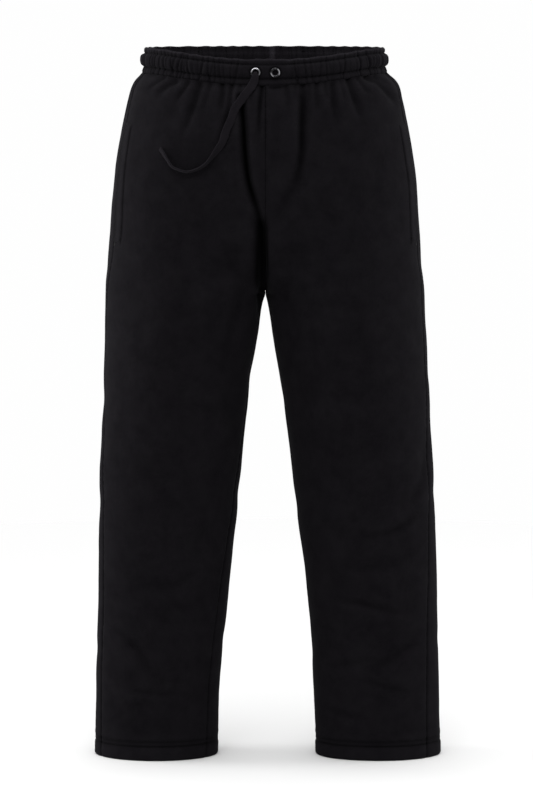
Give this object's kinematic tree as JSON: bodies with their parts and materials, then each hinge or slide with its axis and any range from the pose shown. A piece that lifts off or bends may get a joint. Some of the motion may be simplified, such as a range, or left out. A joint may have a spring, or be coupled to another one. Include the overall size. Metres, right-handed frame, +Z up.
{
  "type": "open-hem fleece sweatpants",
  "caption": "Black fleece sweatpants, filled out and hollow, with ribbed elastic waistband, metal eyelets, flat drawcord, in-seam pockets and open hems.",
  "frame": {"origin": "the middle of the waist opening, at the height of the waistband's rim at the sides", "axes": "+Z up, -Y out of the front, +X to the wearer's left"},
  "size_m": [0.5102, 0.2904, 1.038],
  "materials": {
    "fleece": "matte black brushed cotton fleece with a smooth knitted face",
    "jersey": "matte black thin jersey",
    "eyelet_metal": "polished dark nickel"
  },
  "bodies": {
    "root": {"waistband": "fleece", "front_left": "fleece", "front_right": "fleece", "back_left": "fleece", "back_right": "fleece", "pocket_bag_left": "jersey", "pocket_bag_right": "jersey", "eyelet_left": "eyelet_metal", "eyelet_right": "eyelet_metal", "drawcord": "fleece"}
  },
  "joints": []
}
